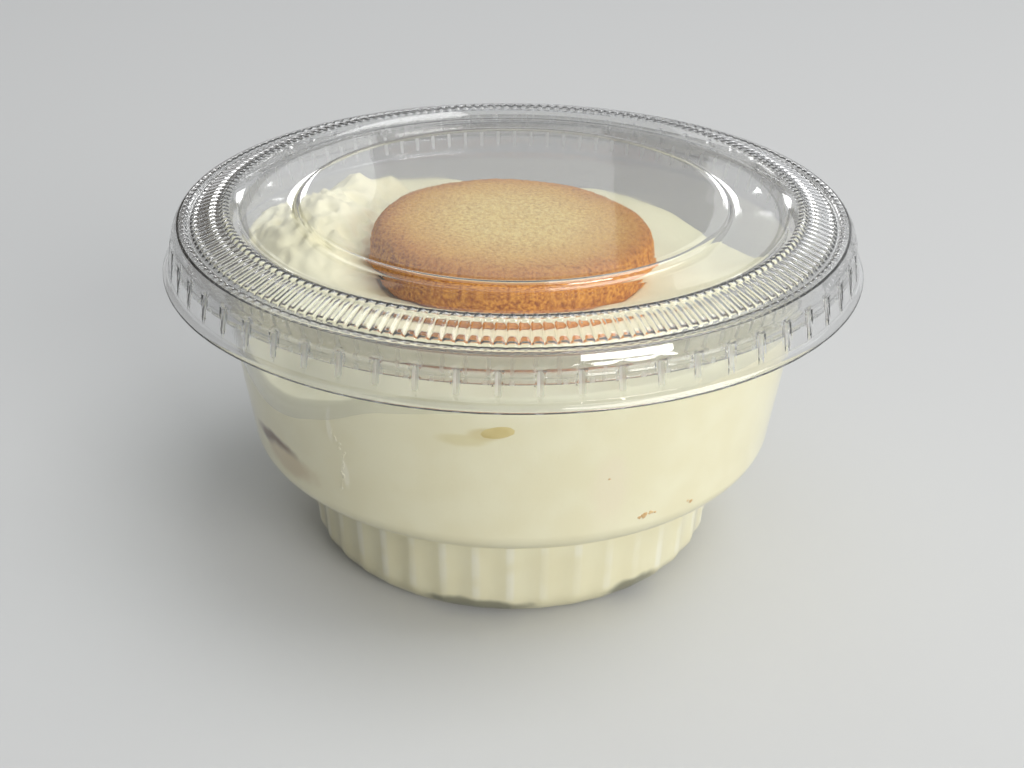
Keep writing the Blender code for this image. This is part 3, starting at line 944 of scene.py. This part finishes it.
def grain_group():
    """Grain at two sizes around a place: a fine height and a broad mottle."""
    tree, given, out = new_group(
        "two_size_grain",
        [("Place", VECTOR), ("Fine Scale", FLOAT), ("Broad Scale", FLOAT), ("Fine Share", FLOAT)],
        [("Height", FLOAT), ("Mottle", FLOAT)],
    )
    fine = add(tree, "ShaderNodeTexNoise", {"Vector": given["Place"], "Scale": given["Fine Scale"],
                                            "Detail": 3.0, "Roughness": 0.62})
    broad = add(tree, "ShaderNodeTexNoise", {"Vector": given["Place"], "Scale": given["Broad Scale"],
                                             "Detail": 2.0, "Roughness": 0.5})
    height = add(tree, "ShaderNodeMix", {0: given["Fine Share"], 2: broad.outputs["Fac"],
                                         3: fine.outputs["Fac"]})
    tree.links.new(height.outputs[0], out.inputs["Height"])
    mottle = ramp(tree, broad.outputs["Fac"], 0.35, 0.68)
    tree.links.new(mottle, out.inputs["Mottle"])
    return tree


def sheet_group():
    """Long faint waves of a thermoformed sheet: a height and a mottle of its haze."""
    tree, given, out = new_group(
        "sheet_waves", [("Place", VECTOR), ("Scale", FLOAT)], [("Height", FLOAT), ("Mottle", FLOAT)]
    )
    wave = add(tree, "ShaderNodeTexNoise", {"Vector": given["Place"], "Scale": given["Scale"],
                                            "Detail": 0.0})
    tree.links.new(wave.outputs["Fac"], out.inputs["Height"])
    tree.links.new(ramp(tree, wave.outputs["Fac"], 0.35, 0.68), out.inputs["Mottle"])
    return tree


def spot_group():
    """Soft-edged spot: 1 within an ellipsoid around a point, 0 well outside it."""
    tree, given, out = new_group(
        "soft_spot",
        [("Place", VECTOR), ("Centre", VECTOR), ("Radii", VECTOR), ("Ragged", FLOAT), ("Waver", FLOAT)],
        [("Mask", FLOAT)],
    )
    away = add(tree, "ShaderNodeVectorMath", {0: given["Place"], 1: given["Centre"]}, operation="SUBTRACT")
    scaled = add(tree, "ShaderNodeVectorMath", {0: away.outputs[0], 1: given["Radii"]}, operation="DIVIDE")
    length = add(tree, "ShaderNodeVectorMath", {0: scaled.outputs[0]}, operation="LENGTH")
    shift = maths(tree, "MULTIPLY", maths(tree, "SUBTRACT", given["Ragged"], 0.5), given["Waver"])
    uneven = maths(tree, "ADD", length.outputs["Value"], shift)
    tree.links.new(ramp(tree, uneven, 0.55, 1.25, 1.0, 0.0), out.inputs["Mask"])
    return tree


def upright_line_group():
    """Upright lines at even turns round the cup: 1 on a line, 0 between them and past their ends."""
    numbers = ["Count", "Turn", "Half Width", "Low", "High"]
    tree, given, out = new_group(
        "upright_lines", [("Place", VECTOR)] + [(label, FLOAT) for label in numbers], [("Mask", FLOAT)]
    )
    axes = add(tree, "ShaderNodeSeparateXYZ", {"Vector": given["Place"]}).outputs
    turn = maths(tree, "ARCTAN2", axes["X"], maths(tree, "MULTIPLY", axes["Y"], -1.0))
    share = maths(tree, "MULTIPLY", maths(tree, "SUBTRACT", turn, given["Turn"]), 1.0 / (2 * math.pi))
    aside = maths(tree, "PINGPONG", maths(tree, "MULTIPLY", share, given["Count"]), 0.5)
    narrow = maths(tree, "MULTIPLY", given["Half Width"], 0.4)
    line = ramp(tree, aside, narrow, given["Half Width"], 1.0, 0.0)
    above = ramp(tree, axes["Z"], given["Low"], maths(tree, "ADD", given["Low"], 1.2 * MM))
    below = ramp(tree, axes["Z"], maths(tree, "SUBTRACT", given["High"], 0.6 * MM), given["High"], 1.0, 0.0)
    mask = maths(tree, "MULTIPLY", line, maths(tree, "MULTIPLY", above, below))
    tree.links.new(mask, out.inputs["Mask"])
    return tree


GRAIN = grain_group()
SHEET = sheet_group()
SPOT = spot_group()
UPRIGHT_LINES = upright_line_group()


def new_material(name):
    """Material with its Principled shader, its output and a socket of object coordinates."""
    made = bpy.data.materials.new(name)
    made.use_nodes = True
    tree = made.node_tree
    place = tree.nodes.new("ShaderNodeTexCoord").outputs["Object"]
    return made, tree, tree.nodes["Principled BSDF"], tree.nodes["Material Output"], place


def grouped(tree, group, inputs):
    """Outputs of a node group placed in a material with its own values."""
    made = add(tree, "ShaderNodeGroup", node_tree=group)
    fill_sockets(tree, made, inputs)
    return made.outputs


def grained(tree, place, fine, broad, fine_share):
    """Outputs of the grain at a food's own scales."""
    scales = {"Fine Scale": fine, "Broad Scale": broad, "Fine Share": fine_share}
    return grouped(tree, GRAIN, {"Place": place, **scales})


def bump(tree, shader, height, distance, strength=1.0):
    """Feed a height into the shader's normal."""
    made = add(tree, "ShaderNodeBump", {"Height": height, "Distance": distance, "Strength": strength})
    tree.links.new(made.outputs["Normal"], shader.inputs["Normal"])


def clear_plastic(name, tint_and_shade, haze, wave, clear, lines):
    """Clear thermoformed sheet: faint waves and haze, upright lines a little frosted."""
    made, tree, shader, output, place = new_material(name)
    # Grey tint, partly the plastic's own and partly painted shade that darkens what is seen through the
    # sheet
    shader.inputs["Base Color"].default_value = (*tint_and_shade, 1.0)
    shader.inputs["Transmission Weight"].default_value = clear
    shader.inputs["IOR"].default_value = PLASTIC_IOR
    sheet = grouped(tree, SHEET, {"Place": place, "Scale": SHEET_WAVES})
    rough = ramp(tree, sheet["Mottle"], 0.0, 1.0, 0.3 * haze, haze)
    frosted = grouped(tree, UPRIGHT_LINES, {"Place": place, **lines})["Mask"]
    rough = maths(tree, "MULTIPLY_ADD", frosted, FROSTED_ROUGHNESS, rough)
    tree.links.new(rough, shader.inputs["Roughness"])
    bump(tree, shader, sheet["Height"], wave)
    path = tree.nodes.new("ShaderNodeLightPath").outputs
    through = add(tree, "ShaderNodeBsdfTransparent", {"Color": SEEN_IN_SHADOW})
    passes = maths(tree, "MAXIMUM", path["Is Shadow Ray"], path["Is Diffuse Ray"])
    mixed = add(tree, "ShaderNodeMixShader", {0: passes, 1: shader.outputs[0], 2: through.outputs[0]})
    tree.links.new(mixed.outputs[0], output.inputs["Surface"])
    return made


def on_wall(azimuth, height):
    """Point on the pudding where it meets the wall, from an azimuth in degrees and a height."""
    turn = math.radians(azimuth)
    return off_axis(turn, wall_radius(height, turn), height)


def banana_cream():
    """Pudding: pale yellow cream, with stains where the side wafer and the banana press, painted shade on
    the left and at the foot's corner, and painted highlight lines along the foot's flutes.
    """
    made, tree, shader, _, place = new_material("banana_cream")
    grain = grained(tree, place, *CREAM_GRAIN)
    colour = blend(tree, grain["Mottle"], *CREAM)
    fade = ramp(tree, grain["Mottle"], 0.0, 1.0, 0.10, 0.55)
    # Painted highlight: lighter lines where the pudding meets the foot's flutes
    lines = grouped(tree, UPRIGHT_LINES, {"Place": place, **FLUTE_HIGHLIGHT_LINES})["Mask"]
    colour = blend(tree, maths(tree, "MULTIPLY", lines, fade), colour, FLUTE_HIGHLIGHT)
    ragged = add(tree, "ShaderNodeTexNoise", {"Vector": place, "Scale": STAIN_AND_SHADE_RAGGED_SCALE,
                                              "Detail": 2.0})
    # Stains, and painted shade on the left and in the foot's corner
    for azimuth, height, radii, waver, tone in WALL_STAINS_AND_SHADE:
        spot = {"Place": place, "Centre": on_wall(azimuth, height), "Radii": radii, "Waver": waver}
        mask = grouped(tree, SPOT, {**spot, "Ragged": ragged.outputs["Fac"]})["Mask"]
        colour = blend(tree, mask, colour, tone)
    tree.links.new(colour, shader.inputs["Base Color"])
    rough = ramp(tree, grain["Mottle"], 0.0, 1.0, 0.40, 0.55)
    tree.links.new(rough, shader.inputs["Roughness"])
    bump(tree, shader, grain["Height"], 0.10 * MM, 0.6)
    return made


def vanilla_biscuit():
    """Baked wafer: pale golden middle, browned rim, orange-brown side with an open crumb, and painted shade
    in its pores.
    """
    made, tree, shader, _, place = new_material("vanilla_biscuit")
    grain = grained(tree, place, *WAFER_GRAIN)
    axes = add(tree, "ShaderNodeSeparateXYZ", {"Vector": place}).outputs
    flat = add(tree, "ShaderNodeCombineXYZ", {"X": axes["X"], "Y": axes["Y"]})
    radius = add(tree, "ShaderNodeVectorMath", {0: flat.outputs[0]}, operation="LENGTH").outputs["Value"]
    ragged = maths(tree, "MULTIPLY_ADD", grain["Mottle"], -0.8 * MM, radius)
    golden = ramp(tree, ragged, 0.26 * WAFER_RADIUS, 0.80 * WAFER_RADIUS)
    browned = ramp(tree, ragged, 0.66 * WAFER_RADIUS, 0.96 * WAFER_RADIUS)
    speck = ramp(tree, grain["Height"], 0.36, 0.64)
    middle = blend(tree, speck, *WAFER_MIDDLE)
    ring = blend(tree, speck, *WAFER_RING)
    rim = blend(tree, speck, *WAFER_RIM)
    colour = blend(tree, browned, blend(tree, golden, middle, ring), rim)
    side_share = ramp(tree, axes["Z"], 0.76 * WAFER_THICKNESS, 0.93 * WAFER_THICKNESS, 1.0, 0.0)
    side = blend(tree, speck, *WAFER_SIDE)
    colour = blend(tree, side_share, colour, side)
    # Painted shade: darker in the pores, at the lowest points of the grain's height
    pore_shade = ramp(tree, grain["Height"], 0.32, 0.42, 0.72, 1.0)
    shaded_in_pores = add(tree, "ShaderNodeMix", {0: 1.0, 6: colour, 7: pore_shade}, data_type="RGBA",
                 blend_type="MULTIPLY")
    tree.links.new(shaded_in_pores.outputs[2], shader.inputs["Base Color"])
    tree.links.new(ramp(tree, grain["Mottle"], 0.0, 1.0, 0.62, 0.85), shader.inputs["Roughness"])
    shader.inputs["Specular IOR Level"].default_value = 0.25
    bump(tree, shader, grain["Height"], 0.22 * MM)
    return made


def small_bit(name, shades):
    """Wafer crumb that has soaked up cream, or a pale fleck of the pudding itself."""
    made, tree, shader, _, place = new_material(name)
    grain = grained(tree, place, *BIT_GRAIN)
    colour = blend(tree, grain["Mottle"], *shades)
    tree.links.new(colour, shader.inputs["Base Color"])
    tree.links.new(ramp(tree, grain["Mottle"], 0.0, 1.0, 0.6, 0.8), shader.inputs["Roughness"])
    bump(tree, shader, grain["Height"], 0.05 * MM)
    return made


def banana_flesh():
    """Ripe banana: ochre where it has steeped, with faint fibres."""
    made, tree, shader, _, place = new_material("banana_flesh")
    grain = grained(tree, place, *BANANA_GRAIN)
    colour = blend(tree, grain["Mottle"], *BANANA)
    tree.links.new(colour, shader.inputs["Base Color"])
    tree.links.new(ramp(tree, grain["Mottle"], 0.0, 1.0, 0.35, 0.5), shader.inputs["Roughness"])
    bump(tree, shader, grain["Height"], 0.1 * MM)
    return made


def pale_floor():
    """Plain pale matt floor."""
    made, _, shader, _, _ = new_material("pale_floor")
    shader.inputs["Base Color"].default_value = FLOOR_PALE
    shader.inputs["Roughness"].default_value = 0.9
    shader.inputs["Specular IOR Level"].default_value = 0.2
    return made


# Stage


def make_camera():
    """Camera at the photograph's viewing angle."""
    data = bpy.data.cameras.new("photo_camera")
    data.sensor_width = CAMERA_SENSOR
    data.lens = CAMERA_LENS
    data.clip_start = 1.0 * MM
    camera = bpy.data.objects.new("photo_camera", data)
    turn = Matrix.Rotation(math.pi / 2 + CAMERA_PITCH, 4, "X") @ Matrix.Rotation(CAMERA_ROLL, 4, "Z")
    camera.matrix_world = Matrix.Translation(CAMERA_PLACE) @ turn
    bpy.context.scene.collection.objects.link(camera)
    bpy.context.scene.camera = camera


def soft_light(name, azimuth, elevation, distance, width, height, power, colour):
    """Rectangular soft light aimed at the cup from an azimuth and elevation in degrees."""
    data = bpy.data.lights.new(name, "AREA")
    data.shape = "RECTANGLE"
    data.size = width
    data.size_y = height
    data.energy = power
    data.color = colour
    turn, up = math.radians(azimuth), math.radians(elevation)
    out = Vector((math.sin(turn) * math.cos(up), -math.cos(turn) * math.cos(up), math.sin(up)))
    light = bpy.data.objects.new(name, data)
    light.location = LIGHT_AIM + out * distance
    light.rotation_euler = (-out).to_track_quat("-Z", "Y").to_euler()
    bpy.context.scene.collection.objects.link(light)


def make_world():
    """Room light: bright overhead and on the right, dim and warm low on the left."""
    world = bpy.data.worlds.new("soft_room")
    world.use_nodes = True
    tree = world.node_tree
    way = tree.nodes.new("ShaderNodeTexCoord").outputs["Generated"]
    axes = add(tree, "ShaderNodeSeparateXYZ", {"Vector": way}).outputs
    right = ramp(tree, axes["X"], -0.5, 0.9, 0.0, ROOM_RIGHT_SHARE)
    ceiling = ramp(tree, axes["Z"], 0.50, 0.85, 0.0, ROOM_CEILING_SHARE)
    colour = blend(tree, maths(tree, "MAXIMUM", right, ceiling), ROOM_LOW, ROOM_HIGH)
    tree.links.new(colour, tree.nodes["Background"].inputs["Color"])
    bpy.context.scene.world = world


def make_stage():
    """Floor, world and soft studio lights."""
    half = FLOOR_HALF_SIZE
    corners = [(-half, -half, 0.0), (half, -half, 0.0), (half, half, 0.0), (-half, half, 0.0)]
    floor = mesh_piece("pale_floor", corners, [(0, 1, 2, 3)])
    floor.data.materials.append(pale_floor())
    make_world()
    for light in STUDIO_LIGHTS:
        soft_light(*light)
    bpy.context.scene.view_settings.view_transform = "Standard"


CUP_INSIDE = [point for point in offset(cup_under(), CUP_SHEET) if point[0] > FOOT_RING_INNER + 1.0 * MM]

make_camera()
make_stage()
make_cup(clear_plastic("cup_plastic", CUP_TINT_AND_SHADE, CUP_HAZE, CUP_WAVE, CUP_CLEAR, STACKING_LINES))
make_lid(clear_plastic("lid_plastic", LID_TINT_AND_SHADE, LID_HAZE, LID_WAVE, LID_CLEAR, NOTCH_LINES))
make_pudding(banana_cream())
make_wafers(vanilla_biscuit())
make_bits(small_bit("soaked_crumb", SOAKED_CRUMB), small_bit("pale_fleck", PALE_FLECK))
make_banana(banana_flesh())
